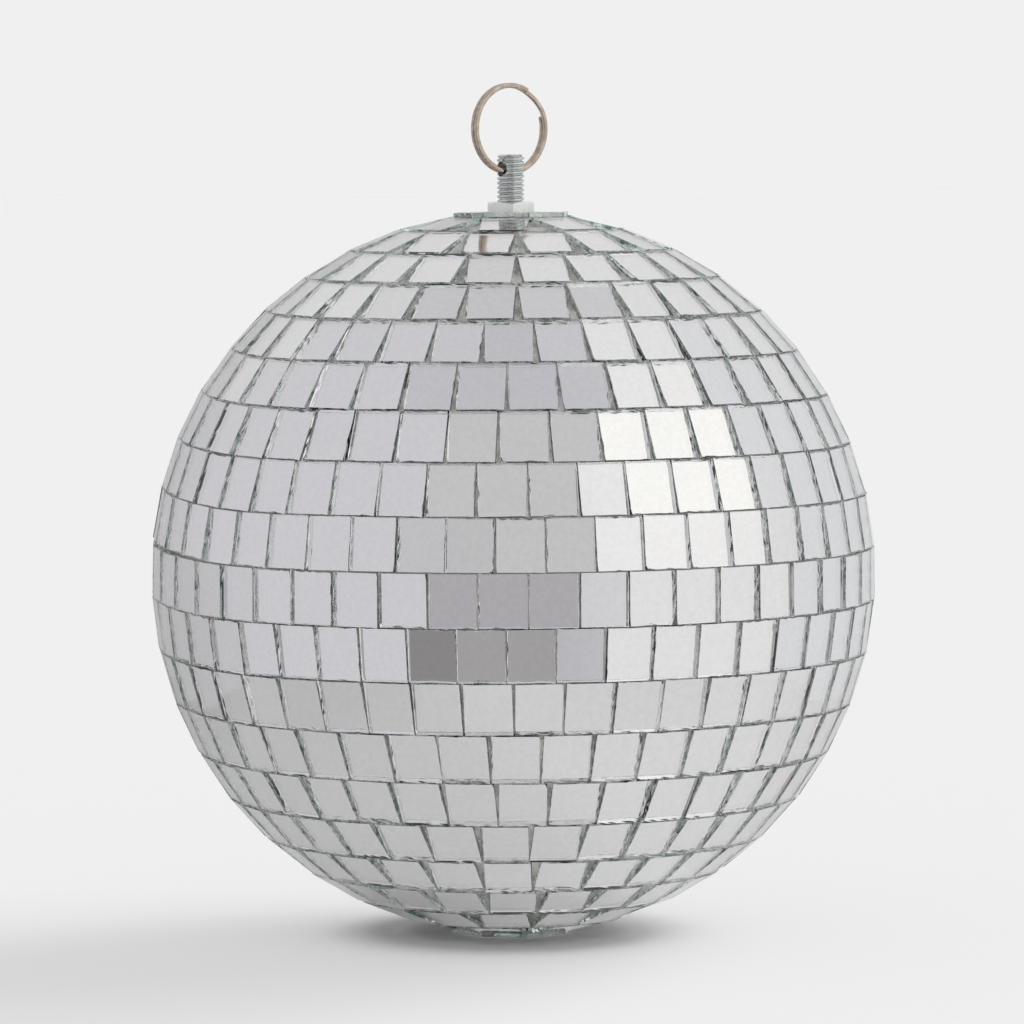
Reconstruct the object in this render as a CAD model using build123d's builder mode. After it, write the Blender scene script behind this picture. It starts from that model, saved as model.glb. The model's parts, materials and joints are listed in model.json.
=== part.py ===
"""Mirror ball, 16 cm over the mirror faces, hung from a split ring through a cross-drilled stud.

Millimetres, +Z up. The origin is the middle of the cross hole in the stud, on the ball's axis.
A hollow moulded core in two halves carries rows of flat mirror tiles, one band of flat lands to
a row. The stud is clamped to the core's top boss between a nut outside and a nut inside.
"""
from build123d import *
from math import atan, cos, degrees, floor, pi, radians, sin, sqrt, tan
import os

# Mirror tiles
ball_radius = 80.0  # ball centre to the mirror faces
tiles_round = 47  # in the row at the equator, which sets the tiles' width
rows_above = 9  # rows between the equator's and the pole's cut pieces
tile_proportion = 1.14  # height over width
tile_thickness = 1.5
glue_line = 0.3  # adhesive between a tile's back and its land
row_gap = 0.12  # between the rows at their closest
equator_gap = 0.69  # between the faces of neighbours at the equator
joint_gap = 0.5  # the same in the other rows, at least
corner_gap = 0.06  # between neighbours in a row, at their closest back corners
cut_piece_gap = 0.3
cut_pieces = 8  # trapezoids that lie flat round each pole
bottom_piece_radius = 7.4  # across flats, half, of the eight-sided piece at the bottom pole
# How far each row is turned, as a share of one tile, from the top row down
row_turns = [0.05, 0.3, 0.8, 0.7, 0.9, 0.95, 0.35, 0.85, 0.5, 0.15]
row_turns += [0.7, 0.55, 0.15, 0.7, 0.75, 0.95, 0.15, 0.5, 0.9]

# Core
core_sides = 40
wall = 2.2
lip_height = 3.5
lip_clearance = 0.1
boss_radius = 11.0
boss_depth = 7.0  # from the nut seat down to the anchor plate
rib_count = 6
rib_thickness = 1.8
rib_reach = 13.0  # out from the boss
rib_step = 1.6  # up from the boss's end

# Hanger
hole_above_faces = 9.5  # cross hole above the top of the mirror faces
hole_diameter = 3.3
stud_diameter = 6.0
stud_length = 30.0
stud_above_hole = 3.2
stud_chamfer = 0.5
bore_clearance = 0.2  # stud in the core's boss
thread_clearance = 0.03  # stud in its nuts
nut_across_flats = 10.0
nut_height = 5.0
nut_above_faces = 2.25  # top of the outer nut above the mirror faces
nut_pocket_clearance = 0.6
nut_turn = -3.6  # degrees that a corner of the outer nut is turned from the XZ plane
plate_side = 16.0
plate_thickness = 1.5
plate_clearance = 0.3

# Split ring: two coils of one wire, joined where the wire crosses from coil to coil
ring_diameter = 20.0
wire_depth = 1.1  # along the ring's radius
wire_width = 0.95  # along the ring's axis
coil_gap = 0.1
ring_lift = -0.65  # middle of the wire above the middle of the cross hole
crossing_start = 16.0  # degrees up from the +X side
crossing_end = 61.0
crossing_sections = 5

# Derived
tile_width = 2 * pi * ball_radius / tiles_round - equator_gap
tile_height = tile_width * tile_proportion
hole_height = ball_radius + hole_above_faces
back_radius = ball_radius - tile_thickness
land_radius = back_radius - glue_line
cavity_radius = land_radius - wall
nut_corner_radius = nut_across_flats / 2 / cos(pi / 6)
pocket_radius = nut_corner_radius + nut_pocket_clearance
nut_seat = ball_radius + nut_above_faces - nut_height
boss_bottom = nut_seat - boss_depth
ring_centre = (ring_diameter - wire_depth) / 2 + ring_lift


def profile_plane(azimuth):
    """An upright plane through the axis: local x is the distance from it, local y the height
    over the ball's centre."""
    out = Vector(cos(radians(azimuth)), sin(radians(azimuth)), 0)
    return Plane(origin=(0, 0, -hole_height), x_dir=out, z_dir=out.cross(Vector(0, 0, 1)))


def height_plane(height):
    """A level plane at a height above the ball's centre."""
    return Plane.XY.offset(height - hole_height)


def tile_plane(latitude, azimuth):
    """The plane of a mirror face: local y runs towards the north pole, local z outwards."""
    out = Vector(cos(radians(azimuth)), sin(radians(azimuth)), 0)
    normal = out * cos(radians(latitude)) + Vector(0, 0, sin(radians(latitude)))
    east = Vector(-sin(radians(azimuth)), cos(radians(azimuth)), 0)
    return Plane(origin=normal * ball_radius - Vector(0, 0, hole_height), x_dir=east, z_dir=normal)


def edge_point(latitude, radius, side):
    """Middle of a row's edge, nearer the pole (side 1) or the equator (side -1), on its axial
    section, for the tile's face or back at a radius."""
    along = side * tile_height / 2
    lat = radians(latitude)
    return radius * cos(lat) - along * sin(lat), radius * sin(lat) + along * cos(lat)


def gap_above(latitude, next_latitude):
    """How far the corners of the next row's tiles stay off the upper edge of a row's tiles."""
    edge_x, edge_z = edge_point(latitude, back_radius, 1)
    lat = radians(latitude)
    gaps = []
    for radius in (back_radius, ball_radius):
        x, z = edge_point(next_latitude, radius, -1)
        corner_x = sqrt(x**2 + (tile_width / 2) ** 2)
        gaps.append((z - edge_z) * cos(lat) - (corner_x - edge_x) * sin(lat))
    return min(gaps)


def next_row(latitude):
    """The next row's latitude, found by halving, where its corners clear this row by the gap."""
    low, high = latitude, latitude + 4 * degrees(tile_height / 2 / back_radius)
    for _ in range(30):
        middle = (low + high) / 2
        low, high = (middle, high) if gap_above(latitude, middle) < row_gap else (low, middle)
    return high


def pole_edge(latitude):
    """Distance from the axis of the upper edge of a row's backs."""
    return edge_point(latitude, back_radius, 1)[0]


def tiles_in_row(latitude):
    """As many tiles as fit with their back corners and the middles of their faces apart."""
    corners = pi / atan((tile_width + corner_gap) / 2 / pole_edge(latitude))
    faces = 2 * pi * ball_radius * cos(radians(latitude)) / (tile_width + joint_gap)
    return floor(min(corners, faces))


def land_corner(latitude_a, latitude_b):
    """Where two neighbouring lands, at the same distance from the centre, meet."""
    middle = radians((latitude_a + latitude_b) / 2)
    reach = land_radius / cos(radians(latitude_a - latitude_b) / 2)
    return reach * cos(middle), reach * sin(middle)


def cavity_corners(count):
    """The corners of the cavity's wall, evenly spaced from the equator to near the pole."""
    step = 90 / count
    reach = cavity_radius / cos(radians(step / 2))
    corners = [radians((n + 0.5) * step) for n in range(count)]
    return [(cavity_radius, 0)] + [(reach * cos(a), reach * sin(a)) for a in corners]


# Latitudes of the rows from the equator up; the rows below mirror them
rows = [0]
for _ in range(rows_above):
    rows.append(next_row(rows[-1]))
os.makedirs("parts", exist_ok=True)

# Mirror rows from the top down, each a set of separate tiles
all_rows = rows[:0:-1] + [-latitude for latitude in rows]
for number, latitude in enumerate(all_rows):
    tiles = tiles_in_row(abs(latitude))
    pitch = 360 / tiles
    turn = row_turns[number % len(row_turns)]
    with BuildPart() as mirror_row:
        with Locations(*[tile_plane(latitude, (n + turn) * pitch) for n in range(tiles)]):
            Box(tile_width, tile_height, tile_thickness, align=(Align.CENTER, Align.CENTER, Align.MAX))
    mirror_row.part.label = f"mirror_row_{number + 1:02d}"
    export_step(mirror_row.part, f"parts/{mirror_row.part.label}.step")


def cut_piece_ring(hole_radius, turn):
    """Sketches a pole's cut pieces, each with its outer side along a tile of the last row."""
    corners = []
    for radius in (pole_edge(rows[-1]) - cut_piece_gap, hole_radius):
        half = radius * tan(pi / cut_pieces) - cut_piece_gap / 2
        corners += [(radius, half), (radius, -half)]
    (a, b), (c, d) = corners[:2], corners[2:]
    with PolarLocations(0, cut_pieces, start_angle=turn * 360 / cut_pieces):
        Polygon(b, a, c, d, align=None)


# Cut pieces round the nut
with BuildPart() as top_cap_tiles:
    with BuildSketch(height_plane(ball_radius)):
        cut_piece_ring(pocket_radius, row_turns[0])
    extrude(amount=-tile_thickness)
top_cap_tiles.part.label = "top_cap_tiles"
export_step(top_cap_tiles.part, "parts/top_cap_tiles.step")

# Cut pieces round the bottom pole, and the eight-sided piece inside them
with BuildPart() as bottom_cap_tiles:
    with BuildSketch(height_plane(-ball_radius)):
        cut_piece_ring(bottom_piece_radius + cut_piece_gap, row_turns[-1])
        facing = (row_turns[-1] + 0.5) * 360 / cut_pieces
        RegularPolygon(bottom_piece_radius, cut_pieces, major_radius=False, rotation=facing)
    extrude(amount=tile_thickness)
bottom_cap_tiles.part.label = "bottom_cap_tiles"
export_step(bottom_cap_tiles.part, "parts/bottom_cap_tiles.step")


def stack_bands(corners, mode):
    """Stacks flat-sided bands between the corners, from the equator up to the pole."""
    for (x, z), (next_x, next_z) in zip(corners, corners[1:]):
        slope = degrees(atan((x - next_x) * cos(pi / core_sides) / (next_z - z)))
        with BuildSketch(height_plane(z)) as section:
            RegularPolygon(x, core_sides)
        extrude(section.sketch, amount=next_z - z, taper=slope, mode=mode)


def hollow_half():
    """An upper half of the core: a band of lands for each row and a flat pole outside, the
    cavity inside with one band for every two rows."""
    lands = rows + [90]
    corners = [(land_radius, 0)] + [land_corner(a, b) for a, b in zip(lands, lands[1:])]
    stack_bands(corners, Mode.ADD)
    stack_bands(cavity_corners((len(rows) + 1) // 2), Mode.SUBTRACT)


# Upper half of the core: lands outside, a ribbed boss and a lip inside
bore_radius = stud_diameter / 2 + bore_clearance
lip_radius = cavity_radius + wall / 2
with BuildPart() as core_upper_shell:
    hollow_half()
    with BuildSketch(height_plane(-lip_height)):
        RegularPolygon(lip_radius, core_sides)
        RegularPolygon(cavity_radius, core_sides, mode=Mode.SUBTRACT)
    extrude(amount=lip_height)
    with BuildSketch(height_plane(boss_bottom)):
        Circle(boss_radius)
    extrude(amount=lip_radius - boss_bottom)
    rib_end = boss_radius + rib_reach
    with BuildSketch(*[profile_plane(n * 360 / rib_count) for n in range(rib_count)]):
        Polygon(
            (boss_radius - wall, boss_bottom + rib_step),
            (boss_radius, boss_bottom + rib_step),
            (rib_end, sqrt(cavity_radius**2 - rib_end**2)),
            (rib_end, sqrt(lip_radius**2 - rib_end**2)),
            (boss_radius - wall, sqrt(lip_radius**2 - boss_radius**2)),
            align=None,
        )
    extrude(amount=rib_thickness / 2, both=True)
    with BuildSketch(height_plane(nut_seat)):
        Circle(pocket_radius)
    extrude(amount=nut_height, mode=Mode.SUBTRACT)
    with Locations(height_plane(nut_seat)):
        Hole(bore_radius)
core_upper_shell.part.label = "core_upper_shell"
export_step(core_upper_shell.part, "parts/core_upper_shell.step")

# Lower half of the core, with a rebate for the lip, made upside down and turned over
with BuildPart() as core_lower_shell:
    hollow_half()
    with BuildSketch(height_plane(0)):
        RegularPolygon(lip_radius + lip_clearance, core_sides)
    extrude(amount=lip_height + lip_clearance, mode=Mode.SUBTRACT)
    mirror(about=height_plane(0), mode=Mode.REPLACE)
core_lower_shell.part.label = "core_lower_shell"
export_step(core_lower_shell.part, "parts/core_lower_shell.step")

# Stud, drilled across for the ring
stud_top = hole_height + stud_above_hole
with BuildPart() as hanger_stud:
    with BuildSketch(height_plane(stud_top)):
        Circle(stud_diameter / 2)
    extrude(amount=-stud_length)
    chamfer(hanger_stud.edges().group_by(Axis.Z)[-1], stud_chamfer)
    with Locations(Plane.YZ):
        Hole(hole_diameter / 2)
hanger_stud.part.label = "hanger_stud"
export_step(hanger_stud.part, "parts/hanger_stud.step")


def make_nut(name, bottom, turn):
    """A hexagon nut on the stud."""
    with BuildPart() as nut:
        with BuildSketch(height_plane(bottom)):
            RegularPolygon(nut_corner_radius, 6, rotation=turn)
            Circle(stud_diameter / 2 + thread_clearance, mode=Mode.SUBTRACT)
        extrude(amount=nut_height)
    nut.part.label = name
    export_step(nut.part, f"parts/{name}.step")


make_nut("top_nut", nut_seat, nut_turn)
make_nut("anchor_nut", boss_bottom - plate_thickness - nut_height, 0)

# Square plate that spreads the inner nut's pull over the boss
with BuildPart() as anchor_plate:
    with BuildSketch(height_plane(boss_bottom)):
        Rectangle(plate_side, plate_side)
        Circle(stud_diameter / 2 + plate_clearance, mode=Mode.SUBTRACT)
    extrude(amount=-plate_thickness)
anchor_plate.part.label = "anchor_plate"
export_step(anchor_plate.part, "parts/anchor_plate.step")


def wire_plane(angle):
    """A plane across the ring's wire: local x along the ring's radius, local y along its axis."""
    out = Vector(cos(radians(angle)), 0, sin(radians(angle)))
    return Plane(origin=(0, 0, ring_centre), x_dir=out, z_dir=out.cross(Vector(0, 1, 0)))


def wire_section(angle, shift):
    """The wire's section at an angle round the ring, shifted along the ring's axis."""
    with BuildSketch(wire_plane(angle)) as section:
        with Locations(((ring_diameter - wire_depth) / 2, shift)):
            Rectangle(wire_depth, wire_width)
    return section.sketch


# Split ring: a front and a back coil, and the crossing between them
coil_shift = (wire_width + coil_gap) / 2
ring_axis = Axis((0, 0, ring_centre), (0, -1, 0))
crossing = crossing_end - crossing_start
with BuildPart() as split_ring:
    for shift in (-coil_shift, coil_shift):
        revolve(wire_section(crossing_end, shift), axis=ring_axis, revolution_arc=360 - crossing)
    shares = [n / (crossing_sections - 1) for n in range(crossing_sections)]
    loft([wire_section(crossing_start + s * crossing, -coil_shift * cos(pi * s)) for s in shares])
split_ring.part.label = "split_ring"
export_step(split_ring.part, "parts/split_ring.step")

print("rows at", [round(latitude, 2) for latitude in rows])
print("tiles in each row", [tiles_in_row(latitude) for latitude in rows])
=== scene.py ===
"""Mirror ball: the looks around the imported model.

Each mirror tile is a slab of cut glass with a silvered back, in the place its CAD solid has. The
stud gets its thread, the nuts their chamfers and the split ring its rounded wire. The frame's
origin is the middle of the hole through the stud.
"""

import json
import random
from collections import namedtuple
from math import asin, atan2, cos, degrees, pi, radians, sin, sqrt, tan

import bmesh
import bpy
from mathutils import Matrix, Vector

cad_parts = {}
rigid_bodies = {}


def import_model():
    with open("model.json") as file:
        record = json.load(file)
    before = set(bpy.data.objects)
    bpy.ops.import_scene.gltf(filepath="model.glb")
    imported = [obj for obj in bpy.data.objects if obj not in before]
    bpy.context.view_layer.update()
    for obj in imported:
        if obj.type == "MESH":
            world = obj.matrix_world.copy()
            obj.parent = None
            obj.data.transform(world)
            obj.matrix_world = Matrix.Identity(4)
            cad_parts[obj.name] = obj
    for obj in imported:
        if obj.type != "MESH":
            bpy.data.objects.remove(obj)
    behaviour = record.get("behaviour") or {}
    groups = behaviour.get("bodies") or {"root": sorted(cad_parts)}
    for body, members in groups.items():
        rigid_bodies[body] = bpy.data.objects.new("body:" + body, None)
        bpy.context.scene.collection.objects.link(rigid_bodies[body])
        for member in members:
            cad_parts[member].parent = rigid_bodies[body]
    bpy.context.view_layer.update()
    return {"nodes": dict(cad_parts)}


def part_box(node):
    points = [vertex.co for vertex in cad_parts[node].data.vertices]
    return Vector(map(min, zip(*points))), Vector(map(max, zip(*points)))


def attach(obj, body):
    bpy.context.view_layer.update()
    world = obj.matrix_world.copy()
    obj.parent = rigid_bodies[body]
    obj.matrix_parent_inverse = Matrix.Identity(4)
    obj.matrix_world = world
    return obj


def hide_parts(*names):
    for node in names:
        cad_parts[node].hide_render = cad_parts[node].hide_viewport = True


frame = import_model()
nodes = frame["nodes"]
scene = bpy.context.scene
scene.view_settings.view_transform = "Standard"
MM = 0.001
rows = sorted(name for name in nodes if name.startswith("mirror_row_"))  # from the top down
middle_low, middle_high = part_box(rows[len(rows) // 2])
BALL = Vector((0, 0, (middle_low.z + middle_high.z) / 2))  # the ball's centre
UP = Vector((0, 0, 1))

# ---------------------------------------------------------------- node helpers


def rgb(r, g, b):
    """An opaque colour for a socket."""
    return (r, g, b, 1)


class Nodes:
    """A small helper for writing a node tree from top to bottom."""

    def __init__(self, tree):
        self.tree = tree
        tree.nodes.clear()

    def add(self, kind, **settings):
        node = self.tree.nodes.new(kind)
        for key, value in settings.items():
            setattr(node, key, value)
        return node

    def link(self, source, target):
        self.tree.links.new(source, target)

    def put(self, value, socket):
        if hasattr(value, "is_output"):
            self.link(value, socket)
        else:
            socket.default_value = value

    def math(self, operation, a, b=0.0):
        node = self.add("ShaderNodeMath", operation=operation)
        self.put(a, node.inputs[0])
        self.put(b, node.inputs[1])
        return node.outputs[0]

    def measure(self, operation, a, b):
        """A number from two vectors, such as their distance."""
        node = self.add("ShaderNodeVectorMath", operation=operation)
        self.put(a, node.inputs[0])
        self.put(b, node.inputs[1])
        return node.outputs["Value"]

    def mix(self, factor, a, b):
        node = self.add("ShaderNodeMix", data_type="RGBA")
        self.put(factor, node.inputs[0])
        self.put(a, node.inputs[6])
        self.put(b, node.inputs[7])
        return node.outputs[2]

    def ramp(self, value, low, high, to_low=0.0, to_high=1.0):
        """A smooth step from to_low to to_high, as the value goes from low to high."""
        node = self.add("ShaderNodeMapRange", interpolation_type="SMOOTHSTEP")
        for v, name in ((value, "Value"), (low, "From Min"), (high, "From Max")):
            self.put(v, node.inputs[name])
        node.inputs["To Min"].default_value = to_low
        node.inputs["To Max"].default_value = to_high
        return node.outputs[0]

    def noise(self, scale, detail=2.0, roughness=0.5):
        node = self.add("ShaderNodeTexNoise")
        node.inputs["Scale"].default_value = scale
        node.inputs["Detail"].default_value = detail
        node.inputs["Roughness"].default_value = roughness
        self.link(self.place(), node.inputs["Vector"])
        return node.outputs[0]

    def place(self):
        return self.add("ShaderNodeTexCoord").outputs["Object"]

    def bump(self, height, distance, strength):
        node = self.add("ShaderNodeBump")
        node.inputs["Strength"].default_value = strength
        node.inputs["Distance"].default_value = distance
        self.link(height, node.inputs["Height"])
        return node.outputs[0]


def material(name):
    """A new material, its node helper and its Principled shader, wired to the output."""
    made = bpy.data.materials.new(name)
    made.use_nodes = True
    n = Nodes(made.node_tree)
    shader = n.add("ShaderNodeBsdfPrincipled")
    n.link(shader.outputs[0], n.add("ShaderNodeOutputMaterial").inputs[0])
    return made, n, shader


# ---------------------------------------------------------------- materials

GLASS_IOR = 1.52

silver, n, s = material("silvered_back")
s.inputs["Metallic"].default_value = 1.0
grain = n.noise(900, 3, 0.6)
n.link(n.mix(n.ramp(grain, 0.35, 0.65), rgb(0.80, 0.795, 0.805), rgb(0.83, 0.825, 0.835)),
       s.inputs["Base Color"])
n.link(n.ramp(n.noise(160, 2), 0.3, 0.7, 0.015, 0.045), s.inputs["Roughness"])

glass, n, s = material("tile_glass")
s.inputs["Transmission Weight"].default_value = 1.0
s.inputs["IOR"].default_value = GLASS_IOR
s.inputs["Roughness"].default_value = 0.0
smear = n.noise(60, 3, 0.55)
n.link(n.mix(n.ramp(smear, 0.3, 0.7), rgb(0.985, 0.99, 0.985), rgb(1, 1, 1)),
       s.inputs["Base Color"])


def cut_glass(name, dark, low, high, transmission):
    """The rough side of a cut tile: pale green glass, with dark chips where the noise is low."""
    made, n, s = material(name)
    s.inputs["Transmission Weight"].default_value = transmission
    s.inputs["IOR"].default_value = GLASS_IOR
    ragged = n.noise(520, 3, 0.6)
    n.link(n.mix(n.ramp(ragged, low, high), dark, rgb(0.9, 0.975, 0.945)), s.inputs["Base Color"])
    n.link(n.ramp(ragged, 0.3, 0.7, 0.1, 0.35), s.inputs["Roughness"])
    n.link(n.bump(ragged, 0.0003, 0.35), s.inputs["Normal"])
    return made


chipped_edge = cut_glass("chipped_glass_edge", rgb(0.17, 0.25, 0.22), 0.38, 0.49, 0.85)
cap_edge = cut_glass("cap_glass_edge", rgb(0.3, 0.42, 0.37), 0.34, 0.44, 0.6)

clean_edge, n, s = material("clean_glass_edge")
s.inputs["Transmission Weight"].default_value = 1.0
s.inputs["IOR"].default_value = GLASS_IOR
s.inputs["Roughness"].default_value = 0.06
n.link(n.mix(n.ramp(n.noise(300, 2), 0.35, 0.65), rgb(0.72, 0.86, 0.81), rgb(0.93, 0.985, 0.96)),
       s.inputs["Base Color"])

adhesive, n, s = material("grey_adhesive")
fleck = n.noise(1900, 3, 0.7)
cloud = n.noise(220, 2)
tone = n.mix(n.ramp(cloud, 0.35, 0.65), rgb(0.26, 0.27, 0.255), rgb(0.5, 0.51, 0.48))
n.link(n.mix(n.ramp(fleck, 0.56, 0.66), tone, rgb(0.78, 0.79, 0.75)), s.inputs["Base Color"])
s.inputs["Roughness"].default_value = 0.62
n.link(n.bump(fleck, 0.0003, 0.8), s.inputs["Normal"])

plastic, n, s = material("core_plastic")
n.link(n.mix(n.ramp(n.noise(90, 4), 0.35, 0.65), rgb(0.17, 0.18, 0.175), rgb(0.26, 0.27, 0.26)),
       s.inputs["Base Color"])
s.inputs["Roughness"].default_value = 0.55
n.link(n.bump(n.noise(1500, 2), 0.0001, 0.5), s.inputs["Normal"])


def zinc_plated(name, dull, clean):
    """Zinc plating between a dull and a clean tone."""
    made, n, s = material(name)
    s.inputs["Metallic"].default_value = 1.0
    bloom = n.noise(420, 4, 0.6)
    n.link(n.mix(n.ramp(bloom, 0.3, 0.7), dull, clean), s.inputs["Base Color"])
    n.link(n.ramp(bloom, 0.25, 0.75, 0.18, 0.32), s.inputs["Roughness"])
    n.link(n.bump(n.noise(1500, 2), 0.00005, 0.25), s.inputs["Normal"])
    return made


zinc = zinc_plated("zinc_plating", rgb(0.69, 0.71, 0.68), rgb(0.83, 0.85, 0.815))
stud_zinc = zinc_plated("stud_plating", rgb(0.52, 0.545, 0.54), rgb(0.68, 0.705, 0.69))

nickel, n, s = material("warm_nickel")
s.inputs["Metallic"].default_value = 1.0
worn = n.noise(700, 3, 0.6)
n.link(n.mix(n.ramp(worn, 0.3, 0.7), rgb(0.40, 0.33, 0.27), rgb(0.58, 0.49, 0.405)),
       s.inputs["Base Color"])
n.link(n.ramp(worn, 0.3, 0.7, 0.08, 0.16), s.inputs["Roughness"])

# ---------------------------------------------------------------- mesh helpers


def make_piece(name, verts, faces, materials, face_materials=None, smooth=None):
    """A mesh object from plain lists of points and faces."""
    mesh = bpy.data.meshes.new(name)
    mesh.from_pydata(verts, [], faces)
    for m in materials:
        mesh.materials.append(m)
    if face_materials is not None:
        mesh.polygons.foreach_set("material_index", face_materials)
    if smooth is not None:
        mesh.polygons.foreach_set("use_smooth", smooth)
    mesh.validate()
    obj = bpy.data.objects.new(name, mesh)
    scene.collection.objects.link(obj)
    return obj


def tube_faces(rings, around, start=0):
    """Quads between neighbouring rings of points."""
    faces = []
    for k in range(rings - 1):
        for i in range(around):
            a = start + k * around + i
            b = start + k * around + (i + 1) % around
            faces.append((a, b, b + around, a + around))
    return faces


def face_outward(obj):
    """Turns every face of a closed mesh outward."""
    bm = bmesh.new()
    bm.from_mesh(obj.data)
    bmesh.ops.recalc_face_normals(bm, faces=bm.faces)
    bm.to_mesh(obj.data)
    bm.free()


# ---------------------------------------------------------------- mirror tiles

# A CAD tile. Its outline is a list of (east, north) places about the centre of its front.
Tile = namedtuple("Tile", "centre east north normal outline depth")

# The glued rows drifted up on one side of the ball. These are in degrees.
CLIMB_AT, CLIMB_WIDTH, CLIMB = 138, 50, 2.1  # where round the ball, how far to each side, how much
UPPER_ROWS = 2  # rows above this height climb more
UPPER_END, LOWER_END, LOWER_SHARE = 62, 50, 0.65  # the heights at which the drift ends


def bearing(place):
    """Degrees round the ball from +X, from -180 to 180."""
    return degrees(atan2(place.y, place.x))


def row_order(tile):
    """Sorts the tiles round the ball, in the same order in each run.

    A tile on the ball's axis counts as one at 0 degrees, and one at -180 as one at 180.
    """
    if tile.centre.xy.length < 1e-6:
        return 0
    return 180 - (180 - round(bearing(tile.centre), 3)) % 360


def climbed(vectors, east, outward):
    """A tile's vectors, turned up the ball where the glued rows drifted from level."""
    off = (bearing(outward) - CLIMB_AT + 180) % 360 - 180
    height = degrees(asin(outward.z))
    near = max(0, 1 - abs(off) / CLIMB_WIDTH)
    if height > UPPER_ROWS:
        share = max(0, 1 - (height / UPPER_END) ** 2)
    else:
        share = LOWER_SHARE * max(0, 1 - (height / LOWER_END) ** 2)
    up = radians(CLIMB * share * near * near * (3 - 2 * near))
    slope = 6 * near * (1 - near) * CLIMB / CLIMB_WIDTH * share
    roll = -slope if off > 0 else slope
    turn = Matrix.Rotation(-up, 3, east) @ Matrix.Rotation(roll, 3, outward)
    return [turn @ v for v in vectors]


def separate_solids(bm):
    """The vertices of each separate solid in a mesh."""
    seen = set()
    for first in bm.verts:
        if first in seen:
            continue
        seen.add(first)
        stack, solid = [first], []
        while stack:
            v = stack.pop()
            solid.append(v)
            for edge in v.link_edges:
                other = edge.other_vert(v)
                if other not in seen:
                    seen.add(other)
                    stack.append(other)
        yield solid


def cad_tiles(node):
    """The separate tiles of a CAD node, in order round the ball."""
    bm = bmesh.new()
    bm.from_mesh(nodes[node].data)
    bmesh.ops.remove_doubles(bm, verts=bm.verts, dist=1e-6)
    tiles = []
    for solid in separate_solids(bm):
        middle = sum((v.co for v in solid), Vector()) / len(solid)
        outward = (middle - BALL).normalized()
        # Dictionaries keep their order, so the sums are the same in each run
        fronts = dict.fromkeys(
            f for v in solid for f in v.link_faces if f.normal.dot(outward) > 0.9)
        normal = sum((f.normal * f.calc_area() for f in fronts), Vector()).normalized()
        corners = dict.fromkeys(v for f in fronts for v in f.verts)
        centre = sum((v.co for v in corners), Vector()) / len(corners)
        east = UP.cross(normal)
        level = east.length < 0.01
        east = Vector((1, 0, 0)) if level else east.normalized()
        north = normal.cross(east)
        outline = sorted(
            (((v.co - centre).dot(east), (v.co - centre).dot(north)) for v in corners),
            key=lambda p: atan2(p[1], p[0]),
        )
        depth = max((centre - v.co).dot(normal) for v in solid)
        if node in rows:
            outward = (centre - BALL).normalized()
            arm, east, north, normal = climbed((centre - BALL, east, north, normal), east, outward)
            centre = BALL + arm
        tiles.append(Tile(centre, east, north, normal, outline, depth))
    bm.free()
    tiles.sort(key=row_order)
    return tiles


def tile_corner(tile, x_sign, y_sign, deep=0.0):
    """A corner of a tile's front, or the point below it by a share of the tile's thickness."""
    return (tile.centre + tile.east * max(p[0] for p in tile.outline) * x_sign
            + tile.north * max(p[1] for p in tile.outline) * y_sign
            - tile.normal * tile.depth * deep)


RIM_STEP = 1.1 * MM  # between points along a tile's outline
UNEVEN = 0.3  # how far such a point may stray, as a share of the step


def ragged_outline(outline, rng):
    """Points along a tile's outline: x, y, the vector into the tile, and the side's number."""
    points = []
    count = len(outline)
    for i, (x0, y0) in enumerate(outline):
        x1, y1 = outline[(i + 1) % count]
        length = sqrt((x1 - x0) ** 2 + (y1 - y0) ** 2)
        inward = (-(y1 - y0) / length, (x1 - x0) / length)
        steps = max(3, round(length / RIM_STEP))
        for k in range(steps):
            t = (k + (rng.uniform(-UNEVEN, UNEVEN) if k else 0)) / steps
            points.append((x0 + t * (x1 - x0), y0 + t * (y1 - y0), inward, i, k == 0))
    made = []
    for j, (x, y, inward, side, corner) in enumerate(points):
        if corner:
            before = points[j - 1][2]
            inward = (inward[0] + before[0], inward[1] + before[1])
        made.append((x, y, inward, side))
    return made


# How a glued tile lies, with angles in degrees and lengths in mm
TWIST, MOST_TWIST = 0.4, 0.9  # turned in its own plane
TILT = 0.42
WELL_GLUED, LOOSE = 0.94, 2.5  # the share of tiles that tilt so little, and the others' factor
SLIDE_EAST, SLIDE_NORTH, SINK = 0.16, 0.03, 0.04
MOST_REACH = 0.12 * MM  # how far a tilted tile's edge may rise or sink

# One tile stands out at the left edge of the view
PROUD_ROW, PROUD_AT, PROUD_WITHIN = rows[9], 141, 3.8
PROUD_TILT, PROUD_RISE = 4.5, 0.35 * MM


def tile_stance(tile, rng, proud):
    """The centre of a glued tile's front and its three axes."""
    twist = max(-MOST_TWIST, min(MOST_TWIST, rng.gauss(0, TWIST)))
    turn = Matrix.Rotation(radians(twist), 3, tile.normal)
    loose = 1.0 if rng.random() < WELL_GLUED else LOOSE
    tilts = [radians(loose * rng.gauss(0, TILT)) for _ in range(2)]
    reach = sum(abs(sin(tilts[i])) * max(p[1 - i] for p in tile.outline) for i in range(2))
    scale = min(1, MOST_REACH / reach)
    more = radians(PROUD_TILT) if proud else 0
    turn = Matrix.Rotation(tilts[0] * scale, 3, tile.east) @ turn
    turn = Matrix.Rotation(tilts[1] * scale + more, 3, tile.north) @ turn
    slide = (tile.east * rng.uniform(-SLIDE_EAST, SLIDE_EAST) * MM
             + tile.north * rng.uniform(-SLIDE_NORTH, SLIDE_NORTH) * MM)
    sink = reach * scale + rng.uniform(0, SINK) * MM
    if proud:
        sink = -PROUD_RISE
    centre = tile.centre + slide - tile.normal * sink
    return centre, turn @ tile.east, turn @ tile.north, turn @ tile.normal


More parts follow.
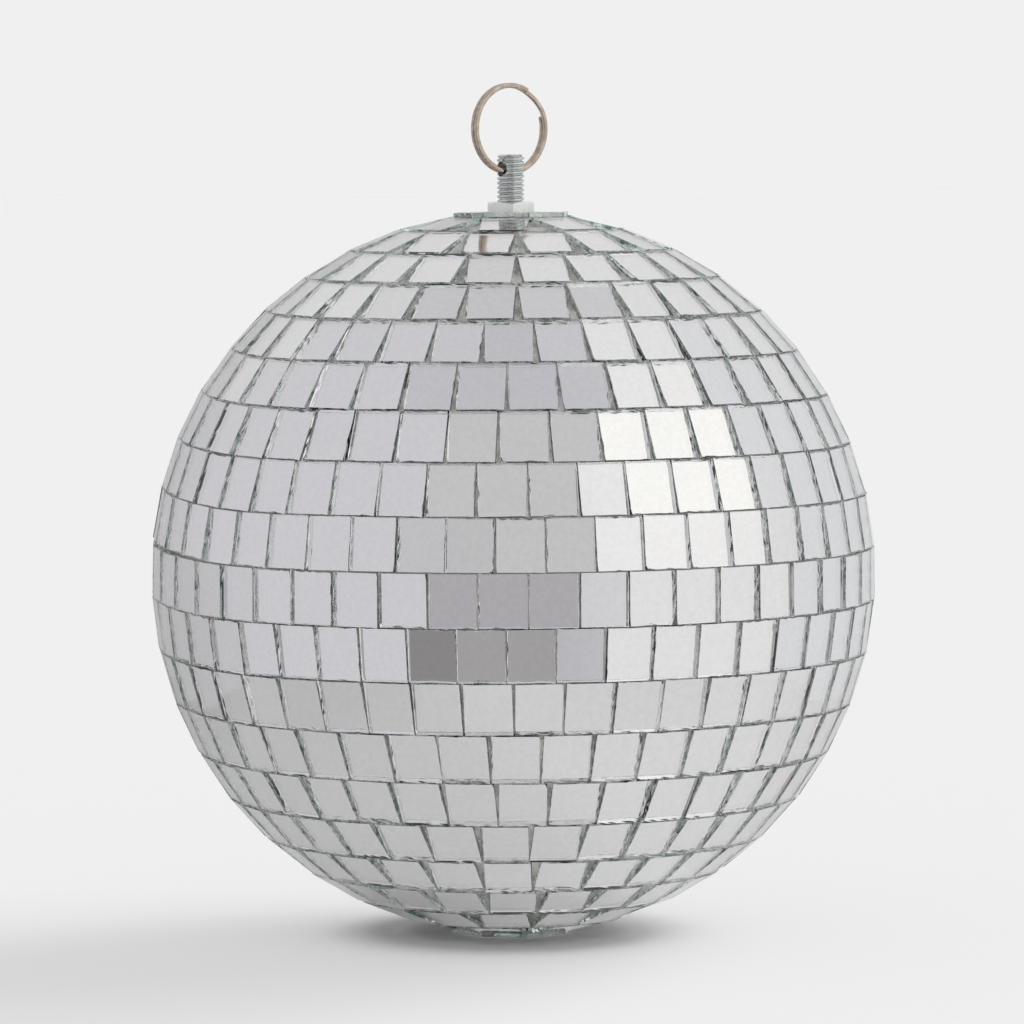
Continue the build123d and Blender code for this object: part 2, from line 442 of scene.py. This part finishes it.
FRONT, ROUGH_SIDE, BACK, CLEAN_SIDE = range(4)  # a tile's material slots
GROW = 0.35, 1.0  # the share of its room by which a side lies further out
LEAN = -0.02, 0.2  # mm by which a side wall's foot lies further in
BEVEL = 0.03 * MM
CHIPPED, RAGGED, CLEAN = 0.3, 0.3, 0.5  # shares of the sides, and of those that aren't ragged
CHIP, CHIP_END = (0.1, 0.35), (0.03, 0.2)  # mm into the tile
MORE_RAGGED = 4
# The rim at the front, below the bevel, half way and at the back: how far in and how rough, in
# mm, then the shares of a chip and of the wall's lean
RIM = ((0.03, 0.02, 1, 0), (0.0, 0.03, 0.5, 0), (0.02, 0.09, 0, 0.5), (0.0, 0.07, 0, 1))


def add_tile(verts, faces, kinds, tile, rooms, rng, proud):
    """One glass slab: front, bevelled and chipped rim, ragged side walls and silvered back."""
    trim = [-rng.uniform(*GROW) * room for room in rooms]
    lean = [rng.uniform(*LEAN) * MM for _ in rooms]
    points = ragged_outline(tile.outline, rng)
    centre, x_axis, y_axis, z_axis = tile_stance(tile, rng, proud)
    start, around = len(verts), len(points)
    chips = {}
    for _ in rooms:
        if rng.random() < CHIPPED:
            at = rng.randrange(around)
            chips[at] = rng.uniform(*CHIP) * MM
            chips[(at + 1) % around] = rng.uniform(*CHIP_END) * MM
    ragged = [rng.random() < RAGGED for _ in rooms]
    clean = [not rough and rng.random() < CLEAN for rough in ragged]
    sunk_levels = (0, BEVEL, tile.depth / 2, tile.depth)
    for sunk, (inset, rough, chip_share, lean_share) in zip(sunk_levels, RIM):
        for j, (x, y, (x_in, y_in), side) in enumerate(points):
            most = rough * (MORE_RAGGED if ragged[side] else 1)
            into = trim[side] + (inset + rng.uniform(0, most)) * MM
            into += chips.get(j, 0) * chip_share + lean[side] * lean_share
            verts.append(centre + x_axis * (x + x_in * into) + y_axis * (y + y_in * into)
                         - z_axis * sunk)
    faces.append(tuple(range(start, start + around)))
    kinds.append(FRONT)
    for i, face in enumerate(tube_faces(len(RIM), around, start)):
        faces.append(tuple(reversed(face)))
        kinds.append(CLEAN_SIDE if clean[points[i % around][3]] else ROUGH_SIDE)
    back = start + (len(RIM) - 1) * around
    faces.append(tuple(reversed(range(back, back + around))))
    kinds.append(BACK)


MOST_ROOM, ROW_ROOM, CAP_ROOM = 0.3 * MM, 0.04 * MM, 0.03 * MM
GAP_SHARE = 0.45  # of the gap to a neighbour, so that both tiles may take it


def side_rooms(before, tile, after):
    """How far each side of a tile in a row may lie outside its nominal outline."""
    def half_gap(left, right):
        return GAP_SHARE * min(
            (tile_corner(right, -1, y) - tile_corner(left, 1, y)).length for y in (-1, 1))

    rooms = []
    outline = tile.outline
    for i, (x0, y0) in enumerate(outline):
        x1, y1 = outline[(i + 1) % len(outline)]
        if abs(y1 - y0) < abs(x1 - x0):
            rooms.append(ROW_ROOM)
        elif x0 > 0:
            rooms.append(min(MOST_ROOM, half_gap(tile, after)))
        else:
            rooms.append(min(MOST_ROOM, half_gap(before, tile)))
    return rooms


def tile_piece(node, seed):
    """All tiles of a CAD node as one piece, which stands for it."""
    rng = random.Random(seed)
    verts, faces, kinds = [], [], []
    tiles = cad_tiles(node)
    for i, tile in enumerate(tiles):
        rooms = [CAP_ROOM] * len(tile.outline)
        if node in rows:
            rooms = side_rooms(tiles[i - 1], tile, tiles[(i + 1) % len(tiles)])
        proud = node == PROUD_ROW and abs(bearing(tile.centre) - PROUD_AT) < PROUD_WITHIN
        add_tile(verts, faces, kinds, tile, rooms, rng, proud)
    name = node.replace("mirror_row", "glass_row") if node in rows else node + "_glass"
    rough_side = chipped_edge if node in rows else cap_edge
    obj = make_piece(name, verts, faces, [glass, rough_side, silver, clean_edge], kinds)
    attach(obj, "ball")
    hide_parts(node)
    return tiles


row_tiles = {name: tile_piece(name, 100 + i) for i, name in enumerate(rows)}
tile_piece("top_cap_tiles", 201)
tile_piece("bottom_cap_tiles", 202)

# Adhesive that came up between neighbours in a row, lowest along its middle
BEAD_DEEP = 0.78  # below the tiles' fronts, as a share of their thickness
BEAD_EDGE, BEAD_WIDE = 0.06, 0.88  # its start and its width, as shares of the gap
BEAD_DIP, BEAD_ROUGH = 0.25 * MM, (-0.12, 0.18)  # the roughness in mm
ALONG, ACROSS = 14, 5  # points of each bead

rng = random.Random(7)
verts, faces = [], []
for tiles in row_tiles.values():
    for one, two in zip(tiles, tiles[1:] + tiles[:1]):
        start = len(verts)
        for a in range(ALONG):
            t = a / (ALONG - 1)
            left = tile_corner(one, 1, -1, BEAD_DEEP).lerp(tile_corner(one, 1, 1, BEAD_DEEP), t)
            right = tile_corner(two, -1, -1, BEAD_DEEP).lerp(
                tile_corner(two, -1, 1, BEAD_DEEP), t)
            for b in range(ACROSS):
                u = b / (ACROSS - 1)
                p = left.lerp(right, BEAD_EDGE + BEAD_WIDE * u)
                out = (p - BALL).normalized()
                dip = 4 * u * (1 - u) * BEAD_DIP
                verts.append(p - out * (dip + rng.uniform(*BEAD_ROUGH) * MM))
        for a in range(ALONG - 1):
            for b in range(ACROSS - 1):
                i = start + a * ACROSS + b
                faces.append((i, i + 1, i + ACROSS + 1, i + ACROSS))
beads = make_piece("adhesive", verts, faces, [adhesive], smooth=[True] * len(faces))
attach(beads, "ball")

# ---------------------------------------------------------------- stud with its thread

stud_low, stud_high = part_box("hanger_stud")
STUD_R = (stud_high.x - stud_low.x) / 2
PITCH = 1.0 * MM
THREAD_DEPTH = 0.5 * MM
CREST, FLANK = 0.46, 0.34  # as shares of half a pitch
HOLE_R = 1.65 * MM
WORN_WIDTH, WORN_DEPTH = 0.8 * MM, 0.2 * MM  # the thread's crests are flattened round the hole
END_CHAMFER = 0.5 * MM
STUD_AROUND, STUD_STEP = 96, PITCH / 12


def thread_radius(z, angle):
    """The thread's surface: flat crests and roots with straight flanks between them."""
    phase = (z / PITCH - angle / (2 * pi)) % 1
    ridge = abs(phase - 0.5) * 2  # 0 at the crest, 1 at the root
    cut = min(1, max(0, (ridge - CREST) / FLANK))
    from_hole = sqrt((STUD_R * sin(angle))**2 + z**2) - HOLE_R
    worn = min(1, max(0, 1 - from_hole / WORN_WIDTH))
    return STUD_R - THREAD_DEPTH * cut * (1 - worn) - WORN_DEPTH * worn


levels = []
z = stud_low.z
while z < stud_high.z - 1e-6:
    levels.append(z)
    z += STUD_STEP
levels.append(stud_high.z)
verts = []
for z in levels:
    limit = STUD_R - END_CHAMFER + min(stud_high.z - z, z - stud_low.z)
    for i in range(STUD_AROUND):
        angle = 2 * pi * i / STUD_AROUND
        r = min(thread_radius(z, angle), limit)
        verts.append((r * cos(angle), r * sin(angle), z))
faces = tube_faces(len(levels), STUD_AROUND)
faces.append(tuple(reversed(range(STUD_AROUND))))
faces.append(tuple(range(len(verts) - STUD_AROUND, len(verts))))
stud = make_piece("threaded_stud", verts, faces, [stud_zinc])

bpy.ops.mesh.primitive_cylinder_add(
    vertices=64, radius=HOLE_R, depth=20 * MM, rotation=(0, pi / 2, 0))
cutter = bpy.context.object
drill = stud.modifiers.new("drill", "BOOLEAN")
drill.object, drill.operation, drill.solver = cutter, "DIFFERENCE", "EXACT"
evaluated = stud.evaluated_get(bpy.context.evaluated_depsgraph_get())
drilled = bpy.data.meshes.new_from_object(evaluated)
stud.modifiers.clear()
stud.data = drilled
bpy.data.objects.remove(cutter)
drilled.materials.clear()
drilled.materials.append(stud_zinc)
drilled.polygons.foreach_set("material_index", [0] * len(drilled.polygons))
face_outward(stud)
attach(stud, "ball")
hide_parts("hanger_stud")

# ---------------------------------------------------------------- chamfered nuts

BORE_PLAY = 0.03 * MM
COUNTERSINK = 0.4 * MM
CHAMFER_START = 0.96  # of the way from the middle to a flat
CHAMFER = radians(30)
CORNER_LEFT = 0.992  # of the way to a corner, which is slightly blunt
EDGE_WEAR = 0.18 * MM
POINTS_PER_FLAT = 16


def make_nut(node, name):
    """A hexagon nut with chamfered ends, turned as the CAD one."""
    low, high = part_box(node)
    half = (high.z - low.z) / 2
    middle = (high.z + low.z) / 2
    far = max(nodes[node].data.vertices, key=lambda v: v.co.x**2 + v.co.y**2).co
    turn = atan2(far.y, far.x)
    corner = sqrt(far.x**2 + far.y**2)
    flat = corner * cos(pi / 6)
    bore = STUD_R + BORE_PLAY
    chamfer_start = flat * CHAMFER_START
    around = 6 * POINTS_PER_FLAT
    angles = [turn + 2 * pi * i / around for i in range(around)]

    def half_profile(angle):
        """(radius, height) at the bore, its countersink, the chamfer's start and its foot."""
        from_flat = (angle - turn) % (pi / 3) - pi / 6
        edge = min(flat / cos(from_flat), corner * CORNER_LEFT)
        return ((bore, half - COUNTERSINK), (bore + COUNTERSINK, half), (chamfer_start, half),
                (edge, half - (edge - chamfer_start) * tan(CHAMFER)))

    verts = []
    for z_sign, places in ((-1, (0, 1, 2, 3)), (1, (3, 2, 1, 0))):
        for place in places:
            for angle in angles:
                r, z = half_profile(angle)[place]
                verts.append((r * cos(angle), r * sin(angle), middle + z_sign * z))
    faces = tube_faces(len(verts) // around, around)
    last = len(verts) - around
    faces += [(last + i, last + (i + 1) % around, (i + 1) % around, i) for i in range(around)]
    nut = make_piece(name, verts, faces, [zinc])
    face_outward(nut)
    bevel = nut.modifiers.new("worn_edges", "BEVEL")
    bevel.width, bevel.segments = EDGE_WEAR, 2
    bevel.limit_method, bevel.angle_limit = "ANGLE", radians(25)
    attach(nut, "ball")
    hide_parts(node)


make_nut("top_nut", "outer_nut")
make_nut("anchor_nut", "inner_nut")

# ---------------------------------------------------------------- split ring

# The ring hangs slightly off the CAD ring's middle, and is slightly wider
ring_low, ring_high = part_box("split_ring")
RING_R = (ring_high.x - ring_low.x) / 2 + 0.1 * MM
RING_C = Vector((-0.25 * MM, 0, (ring_high.z + ring_low.z) / 2 + 0.1 * MM))
WIRE_DEEP, WIRE_WIDE, WIRE_CORNER, COIL_GAP = 1.1 * MM, 0.95 * MM, 0.4 * MM, 0.14 * MM
COIL_SHIFT = (WIRE_WIDE + COIL_GAP) / 2
# In degrees up from +X, the wire goes from coil to coil between these
CROSS_FROM, CROSS_TO = 16, 61
WIRE_START, WIRE_END, WIRE_STEP = CROSS_TO, CROSS_FROM + 2 * 360, 2
END_LENGTH, END_SHRINK = 0.8, 0.14 * MM  # the rounding of the wire's ends, in degrees along it
CORNER_POINTS = 5


def wire_place(angle):
    """How far along the ring's axis the wire is at an angle, which starts at the front end."""
    past = angle - (CROSS_FROM + 360)
    span = CROSS_TO - CROSS_FROM
    if past <= 0:
        return -COIL_SHIFT
    return COIL_SHIFT if past >= span else -COIL_SHIFT * cos(pi * past / span)


def wire_outline(shrink):
    """The wire's rounded section, as (out along the radius, along the ring's axis)."""
    points = []
    deep = WIRE_DEEP / 2 - shrink - WIRE_CORNER
    wide = WIRE_WIDE / 2 - shrink - WIRE_CORNER
    for x_sign, y_sign, start in ((1, 1, 0), (-1, 1, 90), (-1, -1, 180), (1, -1, 270)):
        for k in range(CORNER_POINTS):
            a = radians(start + 90 * k / (CORNER_POINTS - 1))
            points.append((x_sign * deep + WIRE_CORNER * cos(a),
                           y_sign * wide + WIRE_CORNER * sin(a)))
    return points


sections = [(WIRE_START, END_SHRINK), (WIRE_START + END_LENGTH, 0.0)]
sections += [(angle, 0.0) for angle in range(WIRE_START + WIRE_STEP, WIRE_END, WIRE_STEP)]
sections += [(WIRE_END - END_LENGTH, 0.0), (WIRE_END, END_SHRINK)]
verts = []
for angle, shrink in sections:
    a = radians(angle)
    out = Vector((cos(a), 0, sin(a)))
    for deep, wide in wire_outline(shrink):
        verts.append(RING_C + out * (RING_R - WIRE_DEEP / 2 + deep)
                     + Vector((0, wire_place(angle) + wide, 0)))
around = len(verts) // len(sections)
faces = tube_faces(len(sections), around)
smooth = [True] * len(faces) + [False, False]
faces += [tuple(reversed(range(around))), tuple(range(len(verts) - around, len(verts)))]
ring = make_piece("ring_wire", verts, faces, [nickel], smooth=smooth)
face_outward(ring)
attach(ring, "ring")
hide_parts("split_ring")

# CAD solids that keep their shape
for name, made in (("core_upper_shell", plastic), ("core_lower_shell", plastic),
                   ("anchor_plate", zinc)):
    nodes[name].data.materials.clear()
    nodes[name].data.materials.append(made)

# ---------------------------------------------------------------- camera

AZIMUTH, ELEVATION, DISTANCE = radians(-37.5), radians(4.35), 1.2864  # from the ball's centre
AIM_OVER, AIM_LEFT = 13.43 * MM, 0.225 * MM  # the view's middle, from the ball's
ROLL = radians(-0.4)
toward = Vector((sin(AZIMUTH), -cos(AZIMUTH), 0))  # level, from the ball to the camera
right = Vector((cos(AZIMUTH), sin(AZIMUTH), 0))
back = toward * cos(ELEVATION) + UP * sin(ELEVATION)
over = back.cross(right)
camera_data = bpy.data.cameras.new("camera")
camera = bpy.data.objects.new("camera", camera_data)
scene.collection.objects.link(camera)
camera_data.lens, camera_data.sensor_width = 203.5, 36
camera_data.clip_start, camera_data.clip_end = 0.05, 50
camera.location = BALL + back * DISTANCE
aim = BALL + over * AIM_OVER - right * AIM_LEFT
look = (aim - camera.location).to_track_quat("-Z", "Y").to_matrix()
camera.rotation_mode = "QUATERNION"
camera.rotation_quaternion = (look @ Matrix.Rotation(ROLL, 3, "Z")).to_quaternion()
scene.camera = camera

# ---------------------------------------------------------------- floor

PAPER = 0.871  # the background's grey
floor_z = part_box("bottom_cap_tiles")[0].z

# The camera sees even paper. Other rays see the table with painted shade: darker at the left,
# behind the ball and toward its front edge.
paper, n, s = material("paper_floor")
sideways = n.measure("DOT_PRODUCT", n.place(), tuple(right))
forward = n.measure("DOT_PRODUCT", n.place(), tuple(toward))
# Painted shade for mirrored rays: the table darker toward the left
table = n.mix(n.ramp(sideways, -0.24, -0.03), rgb(0.62, 0.62, 0.615), rgb(0.84, 0.84, 0.835))
# Painted shade behind the ball, strongest at the left, and a little toward the table's front edge
behind = n.math("MULTIPLY", n.ramp(forward, -0.06, 0.05, 0.22, 0.0),
                n.ramp(sideways, -0.1, 0.0, 1.0, 0.25))
painted_shade = n.math("MAXIMUM", behind, n.ramp(forward, 0.05, 0.15, 0.0, 0.1))
table = n.mix(painted_shade, table, rgb(0, 0, 0))
rays = n.add("ShaderNodeLightPath").outputs
n.link(n.mix(rays["Is Camera Ray"], table, rgb(PAPER, PAPER, PAPER)), s.inputs["Base Color"])
s.inputs["Roughness"].default_value = 1.0
s.inputs["Specular IOR Level"].default_value = 0.0

# Painted light: near the ball the table glows for mirrored rays, so the mirrors see it lighter, as
# if its shadow there were weaker
away = n.measure("DISTANCE", n.place(), (BALL.x, BALL.y, floor_z))
painted_glow = n.math("MULTIPLY", n.ramp(away, 0.01, 0.06, 0.36, 0.0),
              n.ramp(sideways, -0.045, 0.01, 0.2, 1.1))
mirrored_ray = n.math("MAXIMUM", rays["Is Glossy Ray"], rays["Is Transmission Ray"])
n.link(n.math("MULTIPLY", painted_glow, mirrored_ray), s.inputs["Emission Strength"])
s.inputs["Emission Color"].default_value = rgb(1, 1, 0.985)


def floor_part(name, near, far, left, right_end, mirrored=False):
    """A part of the floor, between two distances toward the camera and two places across."""
    corners = [toward * d + right * w
               for d, w in ((near, left), (far, left), (far, right_end), (near, right_end))]
    part = make_piece(name, [(p.x, p.y, floor_z) for p in corners], [(0, 1, 2, 3)], [paper])
    part.visible_glossy = part.visible_transmission = mirrored


# The mirrors show only the table. The paper runs on past it for the camera.
TABLE_FRONT, TABLE_SIDE = 0.16, 0.185
FAR_BACK, FAR_FRONT, FAR_SIDE = -16.0, 12.0, 14.0
floor_part("table", FAR_BACK, TABLE_FRONT, -TABLE_SIDE, TABLE_SIDE, mirrored=True)
floor_part("paper_left", FAR_BACK, TABLE_FRONT, -FAR_SIDE, -TABLE_SIDE)
floor_part("paper_right", FAR_BACK, TABLE_FRONT, TABLE_SIDE, FAR_SIDE)
floor_part("paper_front", TABLE_FRONT, FAR_FRONT, -FAR_SIDE, FAR_SIDE)

# ---------------------------------------------------------------- studio

ROOM_LIGHT = 0.73

world = bpy.data.worlds.new("studio")
scene.world = world
world.use_nodes = True
n = Nodes(world.node_tree)
direction = n.add("ShaderNodeTexCoord").outputs["Generated"]
across = n.measure("DOT_PRODUCT", direction, tuple(right))
ahead = n.measure("DOT_PRODUCT", direction, tuple(toward))
rise = n.measure("DOT_PRODUCT", direction, tuple(UP))
phi = n.math("MULTIPLY", n.math("ARCTAN2", across, ahead), 180 / pi)
theta = n.math("MULTIPLY", n.math("ARCSINE", rise), 180 / pi)


def area(phi_low, phi_high, theta_low, theta_high, soft_phi=3.0, soft_theta=3.0):
    """1 inside a part of the studio, given in degrees right of the camera and up, 0 outside."""
    mask = n.ramp(phi, phi_low - soft_phi, phi_low + soft_phi)
    for edge in (n.ramp(phi, phi_high - soft_phi, phi_high + soft_phi, 1, 0),
                 n.ramp(theta, theta_low - soft_theta, theta_low + soft_theta),
                 n.ramp(theta, theta_high - soft_theta, theta_high + soft_theta, 1, 0)):
        mask = n.math("MULTIPLY", mask, edge)
    return mask


# What the mirrors show, each area over those before it
studio = rgb(0.72, 0.71, 0.745)  # walls, cool and faintly purple
for mask, colour in (
    (area(93, 200, -95, 100, 12), rgb(0.83, 0.84, 0.855)),  # right and behind
    (area(-200, -128, -95, 100, 12), rgb(0.66, 0.655, 0.67)),  # left and behind
    (area(-200, -102, -95, -2, 24, 5), rgb(0.59, 0.59, 0.6)),  # left, low
    (area(130, 200, 20, 62, 12, 8), rgb(0.88, 0.88, 0.872)),  # right and behind, high
    (area(-200, -130, 20, 62, 12, 8), rgb(0.84, 0.84, 0.838)),  # left and behind, high
    (area(30, 96, -95, 10, 2, 8), rgb(0.91, 0.905, 0.895)),  # under the light
    (area(30, 96, 6, 66, 2, 6), rgb(1.0, 0.995, 0.985)),  # the light's surround
    (area(39, 93, 13, 52, 9, 9), rgb(1.15, 1.145, 1.1)),  # the light, at the right
    (area(-60, 60, 53, 95, 20, 5), rgb(0.62, 0.615, 0.65)),  # ceiling over the camera
    (area(120, 200, 64, 95, 10, 4), rgb(0.7, 0.695, 0.71)),  # ceiling behind
    (area(86, 125, 50, 72, 6, 5), rgb(0.93, 0.925, 0.92)),  # above the light
    (area(-32, 30, 0, 50, 2, 4), rgb(0.655, 0.655, 0.66)),  # behind the camera
    (area(-36, -6, -2, 12, 2, 4), rgb(0.575, 0.575, 0.585)),  # left of the camera
    (area(-32, 22, -30, 1, 2, 5), rgb(0.49, 0.477, 0.497)),  # below the camera
    (area(-32, 14, -40, -12, 2, 3), rgb(0.43, 0.415, 0.42)),  # further down
    (area(-32, -17, -40, -12, 2, 3), rgb(0.30, 0.29, 0.295)),  # its left end
):
    studio = n.mix(mask, studio, colour)


def background(colour, strength=1.0):
    """The output of a new background shader."""
    node = n.add("ShaderNodeBackground")
    n.put(colour, node.inputs["Color"])
    node.inputs["Strength"].default_value = strength
    return node.outputs[0]


def mix_shaders(factor, first, second):
    """The output of a new mix of two shaders."""
    node = n.add("ShaderNodeMixShader")
    for source, socket in zip((factor, first, second), node.inputs):
        n.link(source, socket)
    return node.outputs[0]


rays = n.add("ShaderNodeLightPath").outputs
mirrored_ray = n.math("MAXIMUM", rays["Is Glossy Ray"], rays["Is Transmission Ray"])
unseen = mix_shaders(mirrored_ray, background(rgb(1, 1, 1), ROOM_LIGHT), background(studio))
seen = mix_shaders(rays["Is Camera Ray"], unseen, background(rgb(PAPER, PAPER, PAPER)))
n.link(seen, n.add("ShaderNodeOutputWorld").inputs[0])


def soft_lamp(name, spread, light_from, share):
    """A distant lamp that gives the level floor a share of its light."""
    data = bpy.data.lights.new(name, "SUN")
    data.angle = radians(spread)
    lamp = bpy.data.objects.new(name, data)
    scene.collection.objects.link(lamp)
    light_from = light_from.normalized()
    data.energy = share * pi / light_from.z
    lamp.rotation_mode = "QUATERNION"
    lamp.rotation_quaternion = light_from.to_track_quat("Z", "Y")
    lamp.visible_glossy = lamp.visible_transmission = False


soft_lamp("key", 58, right * 1.0 - toward * 0.66 + UP * 0.72, 0.2)
soft_lamp("low_light", 26, right * 1.0 - toward * 1.0 + UP * 0.75, 0.07)

# The mirrors send the room's light back to the floor, so the shells don't dim it there, and of
# the rows only the lowest two do
FIRST_DIMMING_ROW = len(rows) - 1
for obj in scene.objects:
    above = obj.name.startswith("glass_row_") and int(obj.name[-2:]) < FIRST_DIMMING_ROW
    if above or "shell" in obj.name:
        obj.visible_diffuse = False
